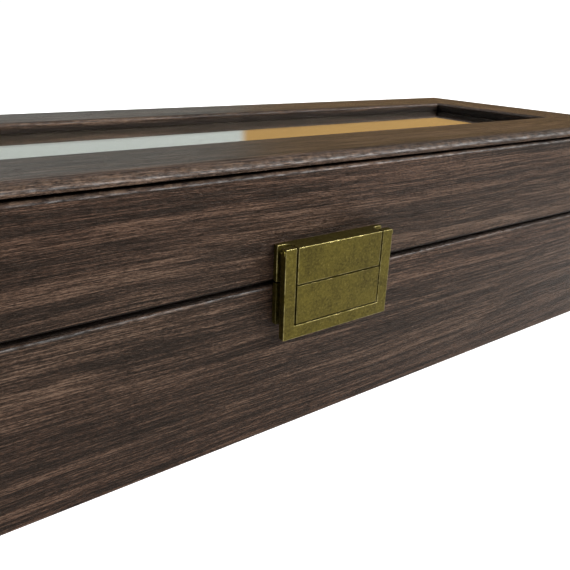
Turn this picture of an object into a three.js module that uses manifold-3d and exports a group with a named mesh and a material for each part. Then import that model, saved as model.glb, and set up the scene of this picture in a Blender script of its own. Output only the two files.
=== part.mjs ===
// A watch box with six cushions in one row, under a lid with a glass window.
// Millimetres, +Z up, +X along the front, -Y towards the front.
// The origin is on the table, under the middle of the case.
import * as THREE from "three";
import { mergeVertices } from "three/addons/utils/BufferGeometryUtils.js";
import Module from "manifold-3d";

// Case
const LENGTH = 316; // outside, along X
const DEPTH = 108; // outside, along Y
const HEIGHT = 80; // from the table to the top of the lid
const SPLIT_HEIGHT = 47; // top edge of the base walls
const SPLIT_GAP = 0.9; // shadow line between base and lid
const WALL = 9;
const CORNER_RADIUS = 2; // upright outer corners
const FOOT_RADIUS = 0.6; // bottom outer edge of the base
const LIP_RADIUS = 1.4; // top outer edge of the base
const MITRE_GAP = 0.1; // half of the glue line at a mitred corner
const GLUE_LINE = 0.05;
const FIT = 0.25; // slack of a board dropped between the walls

// Bottom
const FELT = 0.8;
const FELT_MARGIN = 4;
const BOARD = 4;

// Lining
const LINING = 1.6; // velvet on card
const LINING_TOP_RADIUS = 0.5;
const LIP_CLEARANCE = 0.6; // between the locating lip and the lid walls
const LIP_RISE = 4; // how far the base lining stands up into the lid

// Lid
const RAIL_WIDTH = 25.5;
const RAIL_THICKNESS = 3.4;
const RAIL_OUTER_RADIUS = 2.4; // rounded outer edge of the top board
const RAIL_UNDER_RADIUS = 0.9; // upper half of the seam groove
const RAIL_INNER_RADIUS = 1.2; // edge that frames the glass
const SEAM_RADIUS = 1.6; // lower half of the seam groove
const LID_FOOT_RADIUS = 0.8;
const GLASS = 2;
const GLASS_FIT = 0.5;
const STOP_THICKNESS = 3;

// Compartments
const SLOTS = 6;
const DIVIDER = 3;
const DIVIDER_HEIGHT = 35;
const DIVIDER_FIT = 0.3;
const PILLOW_FIT = 0.8; // slack between a pillow and each divider
const PILLOW_END_GAP = 5.3; // between a pillow and the lining in front of it and behind it
const PILLOW_HEIGHT = 37;
const PILLOW_SQUARENESS = 2.5; // 2 is an ellipse
const PILLOW_EDGE = 5; // rounding of the two ends
const PILLOW_REST = 0.3; // gap that keeps pillow and floor apart

// Hinges
const HINGE_SPREAD = 190; // between the hinge centres
const HINGE_WIDTH = 30;
const BARREL_RADIUS = 2;
const BARREL_OFFSET = 2.5; // axis behind the back of the case
const HINGE_PIN_RADIUS = 0.85;
const RUNNING_CLEARANCE = 0.1;
const KNUCKLE_GAP = 0.4;
const LEAF_THICKNESS = 1.1;
const LEAF_REACH = 7.5; // into the wall
const LEAF_FIT = 0.15; // mortise around a leaf
const PIN_TIP = 0.4; // hinge pin past the barrel

// Hinge screws
const SCREW_HEAD_RADIUS = 1.7;
const SCREW_HEAD_HEIGHT = 0.9;
const SCREW_RADIUS = 0.8;
const SCREW_LENGTH = 7;
const SCREW_SLOT_WIDTH = 0.5;
const SCREW_SLOT_LENGTH = 2.2;
const SCREW_SLOT_DEPTH = 0.45;
const SCREW_CLEARANCE = 0.12;
const SCREW_SPREAD = 19;
const SCREW_INSET = 3.7; // from the back of the case

// Latch
const LATCH_SPLIT = 0.9; // its parting line above the top edge of the base walls
const LATCH_SPLIT_GAP = 0.4;
const LATCH_REACH = 5.9; // front of the blocks, ahead of the case
const PLATE_EAR = 3.7; // plate past each end of the block
const PLATE_THICKNESS = 1.6;
const BLOCK_WIDTH = 28.6;
const UPPER_HEIGHT = 10.1;
const LOWER_PLATE_HEIGHT = 11.7;
const LOWER_BLOCK_HEIGHT = 10.7;
const PLATE_FILLET = 1.4;
const LATCH_EDGE = 0.3; // eased edges
const BAIL_SIDE_GAP = 0.5; // between the blocks and the arms
const BAIL_ARM = 3.5;
const BAIL_BAR = 3.7;
const BAIL_THICKNESS = 2.2;
const BAIL_UNDER_GAP = 0.5; // between the lower block and the bar
const BAIL_TOP_ABOVE = 1.1; // arm ends above the pivot
const BAIL_PIN_RADIUS = 0.6;
const BAIL_PIN_DEPTH = 2; // into the upper block
const BAIL_PIN_HEAD_RADIUS = 0.95;
const BAIL_PIN_HEAD = 0.35;
const BAIL_PIN_DIMPLE = 0.45;

const ARC_STEPS = 4; // chords in a rounded corner
const ROUND_STEPS = 16; // sides of a small cylinder
const PILLOW_STEPS = 20;
const OVERCUT = 1; // how far a cutter passes the surface it opens

// Levels and places that follow from the sizes above
const LID_BOTTOM = SPLIT_HEIGHT + SPLIT_GAP;
const WALL_BOTTOM = FELT + GLUE_LINE;
const BOARD_TOP = WALL_BOTTOM + BOARD;
const RAIL_BOTTOM = HEIGHT - RAIL_THICKNESS;
const GLASS_BOTTOM = RAIL_BOTTOM - GLUE_LINE - GLASS;
const STOP_BOTTOM = GLASS_BOTTOM - GLUE_LINE - STOP_THICKNESS;
const LINING_OUTSIDE = WALL + LIP_CLEARANCE; // from the outer face inwards
const LINING_INSIDE = LINING_OUTSIDE + LINING;
const FLOOR_TOP = BOARD_TOP + GLUE_LINE + LINING;
const INSIDE_LENGTH = LENGTH - 2 * LINING_INSIDE;
const INSIDE_DEPTH = DEPTH - 2 * LINING_INSIDE;
const SLOT_PITCH = (INSIDE_LENGTH + DIVIDER) / SLOTS;
const PILLOW_DEPTH = INSIDE_DEPTH - 2 * PILLOW_END_GAP;
const HINGE_Y = DEPTH / 2 + BARREL_OFFSET;
const HINGE_Z = SPLIT_HEIGHT + SPLIT_GAP / 2;
const LATCH_Z = SPLIT_HEIGHT + LATCH_SPLIT;
const UPPER_BOTTOM = LATCH_Z + LATCH_SPLIT_GAP / 2;
const LOWER_TOP = LATCH_Z - LATCH_SPLIT_GAP / 2;
const BAIL_Y = -DEPTH / 2 - LATCH_REACH + BAIL_THICKNESS / 2;
const BAIL_Z = UPPER_BOTTOM + UPPER_HEIGHT - BAIL_TOP_ABOVE;

const wasm = await Module();
wasm.setup();

// Finishes

const walnutWrap = { color: 0x4a3a33, roughness: 0.5, metalness: 0 };
const antiqueBrass = { color: 0x6e6428, roughness: 0.42, metalness: 0.9 };
const hingeBrass = { color: 0x77682f, roughness: 0.38, metalness: 0.9 };
const windowGlass = { color: 0xdfe8e2, roughness: 0.03, metalness: 0 };
const velvet = { color: 0x3a3028, roughness: 0.95, metalness: 0 };
const pillowSuede = { color: 0x9c8a74, roughness: 0.9, metalness: 0 };
const blackFelt = { color: 0x26211e, roughness: 1, metalness: 0 };

// Shared geometry helpers

// An outline of [x, y, radius] corners, in which each corner with a radius becomes an arc.
function rounded(corners) {
  const outline = [];
  corners.forEach(([x, y, radius = 0], i) => {
    const corner = new THREE.Vector2(x, y);
    if (!radius) {
      outline.push(corner);
      return;
    }
    const towards = (j) => {
      const [nx, ny] = corners[(j + corners.length) % corners.length];
      return new THREE.Vector2(nx, ny).sub(corner).normalize();
    };
    const back = towards(i - 1);
    const ahead = towards(i + 1);
    const half = Math.acos(THREE.MathUtils.clamp(back.dot(ahead), -1, 1)) / 2;
    const bisector = back.clone().add(ahead).normalize();
    const centre = corner.clone().addScaledVector(bisector, radius / Math.sin(half));
    const start = corner.clone().addScaledVector(back, radius / Math.tan(half)).sub(centre);
    const end = corner.clone().addScaledVector(ahead, radius / Math.tan(half)).sub(centre);
    const turn = Math.atan2(start.cross(end), start.dot(end));
    for (let step = 0; step <= ARC_STEPS; step++) {
      const swung = start.clone().rotateAround(new THREE.Vector2(), (turn * step) / ARC_STEPS);
      outline.push(swung.add(centre));
    }
  });
  return outline;
}

function rectangle(width, height, radius = 0) {
  const x = width / 2;
  const y = height / 2;
  return rounded([
    [-x, -y, radius],
    [x, -y, radius],
    [x, y, radius],
    [-x, y, radius],
  ]);
}

// A closed solid made of triangles given as point lists.
function fromTriangles(triangles) {
  const geometry = new THREE.BufferGeometry();
  const flat = triangles.flat(2);
  geometry.setAttribute("position", new THREE.Float32BufferAttribute(flat, 3));
  return geometry;
}

// A board along one side of the case. Its profile is [distance in from the outer face, height],
// and both ends are mitred at 45 degrees, so a point further in has a shorter run.
function mitredStrip(run, across, profile) {
  const at = ({ x: inwards, y: height }, end) => [
    end * (run / 2 - inwards - MITRE_GAP),
    inwards - across / 2,
    height,
  ];
  const triangles = [];
  profile.forEach((a, i) => {
    const b = profile[(i + 1) % profile.length];
    triangles.push([at(a, -1), at(b, -1), at(b, 1)]);
    triangles.push([at(a, -1), at(b, 1), at(a, 1)]);
  });
  THREE.ShapeUtils.triangulateShape(profile, []).forEach(([a, b, c]) => {
    triangles.push([at(profile[a], 1), at(profile[b], 1), at(profile[c], 1)]);
    triangles.push([at(profile[a], -1), at(profile[c], -1), at(profile[b], -1)]);
  });
  return fromTriangles(triangles);
}

function extruded(outline, depth, bevel = 0, bevelSegments = 1) {
  return new THREE.ExtrudeGeometry(new THREE.Shape(outline), {
    depth: depth - 2 * bevel,
    steps: 1,
    bevelEnabled: bevel > 0,
    bevelThickness: bevel,
    bevelSize: bevel,
    bevelOffset: -bevel,
    bevelSegments,
  }).translate(0, 0, bevel);
}

// A block between two corners.
function block([x0, y0, z0], [x1, y1, z1]) {
  return new THREE.BoxGeometry(x1 - x0, y1 - y0, z1 - z0).translate(
    (x0 + x1) / 2,
    (y0 + y1) / 2,
    (z0 + z1) / 2,
  );
}

// A round bar along X.
function barAlongX(radius, x0, x1) {
  return new THREE.CylinderGeometry(radius, radius, x1 - x0, ROUND_STEPS)
    .rotateZ(-Math.PI / 2)
    .translate((x0 + x1) / 2, 0, 0);
}

function lathed(profile) {
  const points = profile.map(([radius, height]) => new THREE.Vector2(radius, height));
  return new THREE.LatheGeometry(points, ROUND_STEPS).rotateX(Math.PI / 2);
}

function toSolid(geometry) {
  const bare = geometry.clone();
  bare.deleteAttribute("normal");
  bare.deleteAttribute("uv");
  const merged = mergeVertices(bare, 1e-4);
  const numbers = { numProp: 3, vertProperties: merged.attributes.position.array };
  return new wasm.Manifold(new wasm.Mesh({ ...numbers, triVerts: new Uint32Array(merged.index.array) }));
}

function toGeometry(solid) {
  const mesh = solid.getMesh();
  const geometry = new THREE.BufferGeometry();
  geometry.setAttribute("position", new THREE.BufferAttribute(mesh.vertProperties, 3));
  geometry.setIndex(new THREE.BufferAttribute(mesh.triVerts, 1));
  return geometry.toNonIndexed();
}

function cut(geometry, cutters) {
  return toGeometry(cutters.reduce((left, cutter) => left.subtract(toSolid(cutter)), toSolid(geometry)));
}

function joined(geometries) {
  return toGeometry(geometries.map(toSolid).reduce((all, more) => all.add(more)));
}

function within(geometry, limit) {
  return toGeometry(toSolid(geometry).intersect(toSolid(limit)));
}

function piece(name, geometry, finish) {
  const mesh = new THREE.Mesh(geometry, new THREE.MeshStandardMaterial(finish));
  mesh.geometry.computeVertexNormals();
  mesh.name = name;
  return mesh;
}

// The four sides of the case: each is the front one turned about the upright axis.
const SIDES = [
  { side: "front", run: LENGTH, across: DEPTH, turn: 0 },
  { side: "right", run: DEPTH, across: LENGTH, turn: Math.PI / 2 },
  { side: "back", run: LENGTH, across: DEPTH, turn: Math.PI },
  { side: "left", run: DEPTH, across: LENGTH, turn: -Math.PI / 2 },
];

// Adds one mitred board a side. Shape turns a side's blank strip into its finished board.
function addSides(group, prefix, suffix, profile, finish, shape = (geometry) => geometry) {
  SIDES.forEach(({ side, run, across, turn }) => {
    const strip = shape(mitredStrip(run, across, rounded(profile)), side, run, across);
    const board = piece(`${prefix}_${side}_${suffix}`, strip, finish);
    board.rotation.z = turn;
    group.add(board);
  });
}

// Cuts a board's outer corners to the rounded outline of the case.
function roundCorners(geometry, run, across) {
  const column = extruded(rectangle(run, across, CORNER_RADIUS), HEIGHT + 2 * OVERCUT);
  return within(geometry, column.translate(0, 0, -OVERCUT));
}

const hingeCentres = [-HINGE_SPREAD / 2, HINGE_SPREAD / 2];
const screwOffsets = [-SCREW_SPREAD / 2, SCREW_SPREAD / 2];

// Cutters for the hinges in a back wall, with up = 1 in the lid and -1 in the base. The back wall
// is the front one turned half round, so these are in the turned board's own frame.
function hingeCutters(up) {
  const face = up > 0 ? LID_BOTTOM : SPLIT_HEIGHT;
  const seat = face + up * (LEAF_THICKNESS + GLUE_LINE);
  const levels = [face - up * OVERCUT, seat].sort((a, b) => a - b);
  return hingeCentres.flatMap((centre) => {
    const half = HINGE_WIDTH / 2 + LEAF_FIT;
    const mortise = block(
      [centre - half, -DEPTH / 2 - OVERCUT, levels[0]],
      [centre + half, -DEPTH / 2 + LEAF_REACH + LEAF_FIT, levels[1]],
    );
    const pilots = screwOffsets.map((offset) => {
      const depth = SCREW_LENGTH + SCREW_CLEARANCE;
      const pilot = new THREE.CylinderGeometry(
        SCREW_RADIUS + SCREW_CLEARANCE,
        SCREW_RADIUS + SCREW_CLEARANCE,
        depth,
        ROUND_STEPS,
      ).rotateX(Math.PI / 2);
      return pilot.translate(centre + offset, -DEPTH / 2 + SCREW_INSET, face + (up * depth) / 2);
    });
    return [mortise, ...pilots];
  });
}

// Base

function addBaseWalls(base) {
  const profile = [
    [0, WALL_BOTTOM, FOOT_RADIUS],
    [WALL, WALL_BOTTOM],
    [WALL, SPLIT_HEIGHT],
    [0, SPLIT_HEIGHT, LIP_RADIUS],
  ];
  addSides(base, "base", "wall", profile, walnutWrap, (strip, side, run, across) => {
    const board = roundCorners(strip, run, across);
    return side === "back" ? cut(board, hingeCutters(-1)) : board;
  });
}

function addBottom(base) {
  const felt = extruded(rectangle(LENGTH - 2 * FELT_MARGIN, DEPTH - 2 * FELT_MARGIN, CORNER_RADIUS), FELT);
  base.add(piece("base_felt", felt, blackFelt));
  const board = extruded(rectangle(LENGTH - 2 * (WALL + FIT), DEPTH - 2 * (WALL + FIT)), BOARD);
  const boardMesh = piece("base_board", board, walnutWrap);
  boardMesh.position.z = WALL_BOTTOM;
  base.add(boardMesh);
}

function addBaseLining(base) {
  const profile = [
    [LINING_OUTSIDE, BOARD_TOP + GLUE_LINE],
    [LINING_INSIDE, BOARD_TOP + GLUE_LINE],
    [LINING_INSIDE, SPLIT_HEIGHT + LIP_RISE, LINING_TOP_RADIUS],
    [LINING_OUTSIDE, SPLIT_HEIGHT + LIP_RISE, LINING_TOP_RADIUS],
  ];
  addSides(base, "base", "lining", profile, velvet);
  const floor = extruded(rectangle(INSIDE_LENGTH - 2 * GLUE_LINE, INSIDE_DEPTH - 2 * GLUE_LINE), LINING);
  const floorMesh = piece("base_floor_lining", floor, velvet);
  floorMesh.position.z = BOARD_TOP + GLUE_LINE;
  base.add(floorMesh);
}

const slotCentre = (slot) => (slot - (SLOTS - 1) / 2) * SLOT_PITCH;

// A divider stands across the case, with a rounded top edge.
function addDividers(base) {
  const half = DIVIDER / 2;
  const section = rounded([
    [-half, 0],
    [half, 0],
    [half, DIVIDER_HEIGHT, half * 0.9],
    [-half, DIVIDER_HEIGHT, half * 0.9],
  ]);
  const run = INSIDE_DEPTH - 2 * DIVIDER_FIT;
  for (let slot = 1; slot < SLOTS; slot++) {
    const divider = piece(`divider_${slot}`, extruded(section, run), velvet);
    divider.rotation.x = Math.PI / 2;
    divider.position.set(slotCentre(slot) - SLOT_PITCH / 2, run / 2, FLOOR_TOP + GLUE_LINE);
    base.add(divider);
  }
}

// A pillow is an oval roll that lies across its compartment, with rounded ends.
function addPillows(base) {
  const width = SLOT_PITCH - DIVIDER - 2 * PILLOW_FIT;
  const oval = Array.from({ length: PILLOW_STEPS }, (_, i) => {
    const angle = (2 * Math.PI * i) / PILLOW_STEPS;
    const stretch = (half, along) => half * Math.sign(along) * Math.abs(along) ** (2 / PILLOW_SQUARENESS);
    return new THREE.Vector2(
      stretch(PILLOW_DEPTH / 2, Math.cos(angle)),
      stretch(PILLOW_HEIGHT / 2, Math.sin(angle)),
    );
  });
  for (let slot = 0; slot < SLOTS; slot++) {
    const roll = extruded(oval, width, PILLOW_EDGE, 2).translate(0, 0, -width / 2);
    const pillow = piece(`pillow_${slot + 1}`, roll.rotateX(Math.PI / 2).rotateZ(Math.PI / 2), pillowSuede);
    pillow.position.set(slotCentre(slot), 0, FLOOR_TOP + PILLOW_REST + PILLOW_HEIGHT / 2);
    base.add(pillow);
  }
}

// Lid, with heights measured from the table

function addLidWalls(lid) {
  const profile = [
    [0, LID_BOTTOM, LID_FOOT_RADIUS],
    [WALL, LID_BOTTOM],
    [WALL, RAIL_BOTTOM - GLUE_LINE],
    [0, RAIL_BOTTOM - GLUE_LINE, SEAM_RADIUS],
  ];
  addSides(lid, "lid", "wall", profile, walnutWrap, (strip, side, run, across) => {
    const board = roundCorners(strip, run, across);
    return side === "back" ? cut(board, hingeCutters(1)) : board;
  });
}

function addTopRails(lid) {
  const profile = [
    [0, RAIL_BOTTOM, RAIL_UNDER_RADIUS],
    [RAIL_WIDTH, RAIL_BOTTOM],
    [RAIL_WIDTH, HEIGHT, RAIL_INNER_RADIUS],
    [0, HEIGHT, RAIL_OUTER_RADIUS],
  ];
  addSides(lid, "lid", "top_rail", profile, walnutWrap, (strip, side, run, across) =>
    roundCorners(strip, run, across),
  );
}

function addGlazing(lid) {
  const inset = 2 * (WALL + GLASS_FIT);
  const pane = piece("window_glass", extruded(rectangle(LENGTH - inset, DEPTH - inset), GLASS), windowGlass);
  pane.position.z = GLASS_BOTTOM;
  lid.add(pane);
  const outside = WALL + GLASS_FIT;
  const profile = [
    [outside, STOP_BOTTOM],
    [RAIL_WIDTH, STOP_BOTTOM, LINING_TOP_RADIUS],
    [RAIL_WIDTH, STOP_BOTTOM + STOP_THICKNESS],
    [outside, STOP_BOTTOM + STOP_THICKNESS],
  ];
  addSides(lid, "window", "stop", profile, velvet);
}

function addLidLining(lid) {
  const bottom = SPLIT_HEIGHT + LIP_RISE + LIP_CLEARANCE;
  const profile = [
    [WALL + GLUE_LINE, bottom, LINING_TOP_RADIUS],
    [WALL + LINING, bottom, LINING_TOP_RADIUS],
    [WALL + LINING, STOP_BOTTOM - GLUE_LINE],
    [WALL + GLUE_LINE, STOP_BOTTOM - GLUE_LINE],
  ];
  addSides(lid, "lid", "lining", profile, velvet);
}

// Hinges, each in a frame on its own axis, with the case in front of it

// A leaf with its knuckles. Up is 1 for the lid's leaf, which has the middle knuckle, and -1 for
// the base's leaf, which has the two outer ones.
function hingeLeaf(up) {
  const third = HINGE_WIDTH / 3;
  const gap = KNUCKLE_GAP / 2;
  const spans =
    up > 0
      ? [[-third / 2 + gap, third / 2 - gap]]
      : [
          [-HINGE_WIDTH / 2, -third / 2 - gap],
          [third / 2 + gap, HINGE_WIDTH / 2],
        ];
  const levels = [up * (SPLIT_GAP / 2), up * (SPLIT_GAP / 2 + LEAF_THICKNESS)].sort((a, b) => a - b);
  const front = -BARREL_OFFSET - LEAF_REACH;
  const edge = -BARREL_RADIUS - LEAF_FIT * 2;
  const plate = block([-HINGE_WIDTH / 2, front, levels[0]], [HINGE_WIDTH / 2, edge, levels[1]]);
  const webs = spans.map(([x0, x1]) => block([x0, edge - LEAF_FIT, levels[0]], [x1, 0, levels[1]]));
  const barrels = spans.map(([x0, x1]) => barAlongX(BARREL_RADIUS, x0, x1));
  const bore = barAlongX(
    HINGE_PIN_RADIUS + RUNNING_CLEARANCE,
    -HINGE_WIDTH / 2 - OVERCUT,
    HINGE_WIDTH / 2 + OVERCUT,
  );
  const holes = screwOffsets.map((offset) =>
    placedScrew(screwOutline(SCREW_CLEARANCE), up).translate(offset, screwY(), 0),
  );
  return cut(joined([plate, ...webs, ...barrels]), [bore, ...holes]);
}

const screwY = () => -BARREL_OFFSET - SCREW_INSET;

// A countersunk screw's outline from its tip up to its head, larger all round by the clearance.
function screwOutline(clearance) {
  const shank = SCREW_RADIUS + clearance;
  const head = SCREW_HEAD_RADIUS + clearance;
  return lathed([
    [0, -SCREW_LENGTH - clearance],
    [shank, -SCREW_LENGTH - clearance],
    [shank, -SCREW_HEAD_HEIGHT],
    [head, -clearance / 2],
    [head, clearance],
    [0, clearance],
  ]);
}

function screwSolid() {
  const half = SCREW_SLOT_LENGTH / 2;
  const side = SCREW_SLOT_WIDTH / 2;
  return cut(screwOutline(0), [
    block([-half, -side, -SCREW_SLOT_DEPTH], [half, side, OVERCUT]),
    block([-side, -half, -SCREW_SLOT_DEPTH], [side, half, OVERCUT]),
  ]);
}

// Sets a screw's head flush with the inner face of the lid's leaf (up 1) or the base's (up -1).
function placedScrew(geometry, up) {
  const turned = up > 0 ? geometry.rotateX(Math.PI) : geometry;
  return turned.translate(0, 0, up * (SPLIT_GAP / 2));
}

function addHinges(base, lid) {
  hingeCentres.forEach((centre, i) => {
    const side = i ? "right" : "left";
    const place = (mesh, group) => {
      mesh.position.set(centre, HINGE_Y, HINGE_Z);
      group.add(mesh);
    };
    place(piece(`hinge_${side}_base_leaf`, hingeLeaf(-1), hingeBrass), base);
    place(piece(`hinge_${side}_lid_leaf`, hingeLeaf(1), hingeBrass), lid);
    const reach = HINGE_WIDTH / 2 + PIN_TIP;
    place(piece(`hinge_${side}_pin`, barAlongX(HINGE_PIN_RADIUS, -reach, reach), hingeBrass), base);
    screwOffsets.forEach((offset, j) => {
      [
        ["base", -1, base],
        ["lid", 1, lid],
      ].forEach(([owner, up, group]) => {
        const screw = placedScrew(screwSolid(), up).translate(offset, screwY(), 0);
        place(piece(`hinge_${side}_${owner}_screw_${j + 1}`, screw, hingeBrass), group);
      });
    });
  });
}

// Latch

// One half of the latch in plan: a plate on the case, filleted into the block that stands on it.
function latchHalf(height, plateOnly) {
  const body = BLOCK_WIDTH / 2;
  const plate = body + PLATE_EAR;
  const outline = plateOnly
    ? [
        [-plate, -PLATE_THICKNESS, LATCH_EDGE],
        [plate, -PLATE_THICKNESS, LATCH_EDGE],
        [plate, 0],
        [-plate, 0],
      ]
    : [
        [-body, -LATCH_REACH, LATCH_EDGE],
        [body, -LATCH_REACH, LATCH_EDGE],
        [body, -PLATE_THICKNESS, PLATE_FILLET],
        [plate, -PLATE_THICKNESS, LATCH_EDGE],
        [plate, 0],
        [-plate, 0],
        [-plate, -PLATE_THICKNESS, LATCH_EDGE],
        [-body, -PLATE_THICKNESS, PLATE_FILLET],
      ];
  return extruded(rounded(outline), height, LATCH_EDGE * 0.8);
}

const latchFace = -DEPTH / 2 - GLUE_LINE;

function addLowerLatch(base) {
  const plate = latchHalf(LOWER_PLATE_HEIGHT, true).translate(0, 0, -LOWER_PLATE_HEIGHT);
  const body = latchHalf(LOWER_BLOCK_HEIGHT, false).translate(0, 0, -LOWER_BLOCK_HEIGHT);
  const lower = piece("latch_lower_block", joined([plate, body]), antiqueBrass);
  lower.position.set(0, latchFace, LOWER_TOP);
  base.add(lower);
}

// The upper half carries the bail on a pin at each end.
function addUpperLatch(lid) {
  const bores = [-1, 1].map((end) => {
    const x = [end * (BLOCK_WIDTH / 2 - BAIL_PIN_DEPTH - RUNNING_CLEARANCE), end * (BLOCK_WIDTH / 2 + OVERCUT)];
    const bore = barAlongX(BAIL_PIN_RADIUS + RUNNING_CLEARANCE, Math.min(...x), Math.max(...x));
    return bore.translate(0, BAIL_Y - latchFace, BAIL_Z - UPPER_BOTTOM);
  });
  const upper = piece("latch_upper_block", cut(latchHalf(UPPER_HEIGHT, false), bores), antiqueBrass);
  upper.position.set(0, latchFace, UPPER_BOTTOM);
  lid.add(upper);
  ["left", "right"].forEach((side, i) => {
    const pin = piece(`bail_${side}_pin`, bailPin(), antiqueBrass);
    pin.position.set((i ? 1 : -1) * bailHalf(), BAIL_Y, BAIL_Z);
    pin.rotation.y = ((i ? 1 : -1) * Math.PI) / 2;
    lid.add(pin);
  });
}

const bailHalf = () => BLOCK_WIDTH / 2 + BAIL_SIDE_GAP + BAIL_ARM;

// A headed pin along its own Z, with its head's underside just off the arm at z = 0.
function bailPin() {
  const tip = -BAIL_ARM - BAIL_SIDE_GAP - BAIL_PIN_DEPTH;
  const under = GLUE_LINE;
  const top = under + BAIL_PIN_HEAD;
  return lathed([
    [0, tip],
    [BAIL_PIN_RADIUS, tip],
    [BAIL_PIN_RADIUS, under],
    [BAIL_PIN_HEAD_RADIUS, under],
    [BAIL_PIN_HEAD_RADIUS, top],
    [BAIL_PIN_DIMPLE, top],
    [0, top - BAIL_PIN_HEAD * 0.7],
  ]);
}

// The bail is a flat U that hangs round both blocks and closes under the lower one.
function addBail(lid) {
  const half = bailHalf();
  const inner = half - BAIL_ARM;
  const barTop = LOWER_TOP - LOWER_BLOCK_HEIGHT - BAIL_UNDER_GAP - BAIL_Z;
  const outline = rounded([
    [-half, barTop - BAIL_BAR, LATCH_EDGE * 2],
    [half, barTop - BAIL_BAR, LATCH_EDGE * 2],
    [half, BAIL_TOP_ABOVE, LATCH_EDGE],
    [inner, BAIL_TOP_ABOVE, LATCH_EDGE],
    [inner, barTop, LATCH_EDGE],
    [-inner, barTop, LATCH_EDGE],
    [-inner, BAIL_TOP_ABOVE, LATCH_EDGE],
    [-half, BAIL_TOP_ABOVE, LATCH_EDGE],
  ]);
  const frame = extruded(outline, BAIL_THICKNESS, LATCH_EDGE * 0.8).rotateX(Math.PI / 2);
  const bore = barAlongX(BAIL_PIN_RADIUS + RUNNING_CLEARANCE, -half - OVERCUT, half + OVERCUT);
  const bail = piece("latch_bail", cut(frame.translate(0, BAIL_THICKNESS / 2, 0), [bore]), antiqueBrass);
  bail.position.set(0, BAIL_Y, BAIL_Z);
  lid.add(bail);
}

const watchBox = new THREE.Group();
const baseGroup = new THREE.Group();
const lidGroup = new THREE.Group();
watchBox.add(baseGroup, lidGroup);

addBaseWalls(baseGroup);
addBottom(baseGroup);
addBaseLining(baseGroup);
addDividers(baseGroup);
addPillows(baseGroup);
addLidWalls(lidGroup);
addTopRails(lidGroup);
addGlazing(lidGroup);
addLidLining(lidGroup);
addHinges(baseGroup, lidGroup);
addLowerLatch(baseGroup);
addUpperLatch(lidGroup);
addBail(lidGroup);

export default watchBox;
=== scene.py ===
"""The finish of a watch box: walnut foil on mitred boards, an aged brass latch, velvet, glass and pillows.

Metres, +Z up, +X along the front, -Y towards the front, origin on the table under the middle of the case.
"""

import math

import bmesh
import bpy
import numpy as np
from mathutils import Matrix, Vector
from mathutils.bvhtree import BVHTree


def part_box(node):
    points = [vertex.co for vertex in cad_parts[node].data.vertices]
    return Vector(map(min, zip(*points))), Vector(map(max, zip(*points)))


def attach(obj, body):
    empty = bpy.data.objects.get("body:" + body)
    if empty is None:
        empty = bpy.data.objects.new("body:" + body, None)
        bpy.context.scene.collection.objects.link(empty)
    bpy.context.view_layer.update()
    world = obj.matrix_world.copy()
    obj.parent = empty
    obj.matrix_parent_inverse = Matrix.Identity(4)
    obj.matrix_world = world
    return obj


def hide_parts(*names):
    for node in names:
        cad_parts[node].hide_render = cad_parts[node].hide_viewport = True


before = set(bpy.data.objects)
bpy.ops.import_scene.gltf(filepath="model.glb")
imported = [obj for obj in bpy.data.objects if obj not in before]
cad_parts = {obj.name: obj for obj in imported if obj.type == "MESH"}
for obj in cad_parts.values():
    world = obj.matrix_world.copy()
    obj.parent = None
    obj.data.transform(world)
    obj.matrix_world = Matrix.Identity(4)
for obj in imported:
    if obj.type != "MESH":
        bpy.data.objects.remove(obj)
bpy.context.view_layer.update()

MM = 0.001

# Case, read from the frame
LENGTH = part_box("base_right_wall")[1].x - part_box("base_left_wall")[0].x
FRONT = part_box("base_front_wall")[0].y
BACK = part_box("base_back_wall")[1].y
DEPTH = BACK - FRONT
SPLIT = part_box("base_front_wall")[1].z
LID_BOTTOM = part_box("lid_front_wall")[0].z
CORNER = 2 * MM  # upright outer corners

# Mesh detail
ARC_STEPS = 8
CORNER_STEPS = 6
SUPPORT = 0.3 * MM  # flat strip beside each rounded edge
EASED = 0.18 * MM  # edges with no radius of their own
SEAM_SHADE = 1.9 * MM  # how far a seam's painted shade reaches over the faces beside it
LIP_SHADED = 0.5  # share of the base's rounded lip that lies in the seam and is painted dark as shade
SHARP = math.radians(38)

# Boards: edge radii, negative in a seam that is painted dark as shade
FOOT_RADIUS = 0.6 * MM
LIP_RADIUS = 1.4 * MM
LID_FOOT_RADIUS = -0.8 * MM
SEAM_RADIUS = 1.6 * MM
RAIL_UNDER_RADIUS = -0.3 * MM
RAIL_INNER_RADIUS = 1.2 * MM
RAIL_NOSE_RADIUS = 3.0 * MM
LINING_RADIUS = 0.5 * MM
MITRE_GAP = 0.03 * MM
GRAIN_SEED_STEP = 3.7  # between boards that are cut one by one

# Latch
LATCH_EAR = 3.7 * MM  # plate past each end of a block
PLATE_THICKNESS = 1.6 * MM
PLATE_FILLET = 1.4 * MM
PLATE_BELOW_BLOCK = 1.0 * MM
BAIL_ARM = 3.5 * MM
BAIL_BAR = 3.7 * MM
BAIL_PIVOT_BELOW_TOP = 1.1 * MM
LATCH_BEVEL = 0.18 * MM
LATCH_WEAR = 0.28 * MM  # how far wear reaches in from an edge
PIN_RADIUS = 0.6 * MM
PIN_HEAD_RADIUS = 0.95 * MM
PIN_HEAD = 0.35 * MM
PIN_DIMPLE = 0.45 * MM
PIN_REACH = 6 * MM
PIN_HEAD_GAP = 0.05 * MM  # between an arm and a pin's head
BORE_CLEARANCE = 0.1 * MM
BORE_DEPTH = 2.1 * MM

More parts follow.
